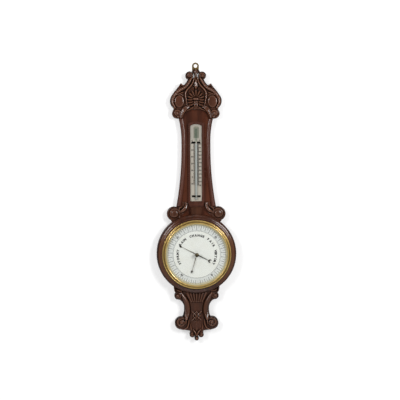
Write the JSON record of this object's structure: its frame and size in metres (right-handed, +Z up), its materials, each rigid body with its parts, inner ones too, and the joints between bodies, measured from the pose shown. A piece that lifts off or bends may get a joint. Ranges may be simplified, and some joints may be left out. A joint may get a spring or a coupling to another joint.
{
  "type": "wall barometer",
  "caption": "Carved banjo-shaped wall barometer with a thermometer on its shaft and an aneroid movement behind a round glazed dial with a main hand and a set hand.",
  "frame": {"origin": "centre of the hanging hole, on the plane of the wall", "axes": "+Z up along the case, -Y towards the viewer, +X to the viewer's right"},
  "size_m": [0.247, 0.0584, 0.8628],
  "materials": {
    "case_wood": "dark stained and waxed hardwood, carved",
    "turned_wood": "dark stained and polished hardwood, turned or run to a moulding",
    "back_wood": "unpolished hardwood",
    "polished_brass": "lacquered, polished",
    "dull_brass": "brushed and aged",
    "steel": "ground steel",
    "blued_steel": "blued and blackened steel",
    "dial_enamel": "white enamelled metal with black printing",
    "scale_enamel": "silvered and lacquered metal with black engraving",
    "dial_glass": "clear flat glass with a wide bevel",
    "tube_glass": "clear thermometer glass",
    "thermometer_fluid": "mercury",
    "nickel_silver": "corrugated nickel silver"
  },
  "bodies": {
    "case": {"case_board": "case_wood", "head_carving": "case_wood", "edge_mouldings": "turned_wood", "thermometer_frame": "case_wood", "keystone": "case_wood", "shoulder_scrolls": "case_wood", "dial_surround": "turned_wood", "tail_carving": "case_wood", "back_cover": "back_wood", "back_cover_screws": "dull_brass", "hanging_plate": "dull_brass", "hanging_plate_screws": "dull_brass", "thermometer_plate": "scale_enamel", "thermometer_tube": "tube_glass", "thermometer_fluid": "thermometer_fluid", "tube_clips": "blued_steel", "clip_screws": "blued_steel", "bezel": "polished_brass", "bezel_pins": "dull_brass", "glass": "dial_glass", "reflector_ring": "polished_brass", "glass_bush": "polished_brass", "dial_plate": "dial_enamel", "dial_pillars": "dull_brass", "hairspring": "blued_steel", "chain": "steel", "base_plate": "dull_brass", "base_plate_screws": "steel", "capsule_lower_half": "nickel_silver", "capsule_upper_half": "nickel_silver", "spring_bridge": "dull_brass", "bridge_screws": "steel", "mainspring": "steel", "spring_screws": "steel", "rocker_posts": "dull_brass", "movement_pillars": "dull_brass", "lower_arbor_plate": "dull_brass", "pillar_sleeves": "dull_brass", "upper_arbor_plate": "dull_brass", "pillar_nuts": "steel"},
    "hand": {"arbor": "steel", "hand_collet": "dull_brass", "main_hand": "blued_steel"},
    "set_pointer": {"set_knob": "polished_brass", "set_hand": "polished_brass"},
    "rocker": {"rocking_bar": "steel"},
    "lever": {"main_lever": "dull_brass", "link_rod": "steel"},
    "post": {"capsule_post": "steel"},
    "adjuster": {"adjusting_screw": "steel"}
  },
  "joints": [
    {"name": "hand_turn", "type": "hinge", "parent": "case", "child": "hand", "pos_m": [0, -0.04, -0.579], "axis": [0, 1, 0], "range_deg": [-80.6, 207.4], "stiffness_Nm_per_rad": 0.004, "deforming": ["hairspring", "chain"]},
    {"name": "set_turn", "type": "hinge", "parent": "case", "child": "set_pointer", "pos_m": [0, -0.05, -0.579], "axis": [0, 1, 0], "continuous": true},
    {"name": "rocker_turn", "type": "hinge", "parent": "case", "child": "rocker", "pos_m": [0.044, -0.02, -0.579], "axis": [0, 0, 1], "range_deg": [-23.3, 9.67]},
    {"name": "lever_tilt", "type": "hinge", "parent": "case", "child": "lever", "pos_m": [-0.047, -0.0248, -0.579], "axis": [0, 0, 1], "range_deg": [-0.46, 1.08], "deforming": ["mainspring"]},
    {"name": "post_slide", "type": "slide", "parent": "case", "child": "post", "axis": [0, 1, 0], "range_m": [-0.00028, 0.00064], "deforming": ["capsule_upper_half"]},
    {"name": "adjuster_turn", "type": "hinge", "parent": "case", "child": "adjuster", "pos_m": [-0.045, -0.01, -0.579], "axis": [0, 1, 0], "range_deg": [-360, 360]}
  ],
  "couplings": [
    {"joint": "rocker_turn", "follows": "hand_turn", "ratio": -0.10753},
    {"joint": "lever_tilt", "follows": "hand_turn", "ratio": 0.004944},
    {"joint": "post_slide", "follows": "hand_turn", "m_per_rad": 0.00016314}
  ]
}
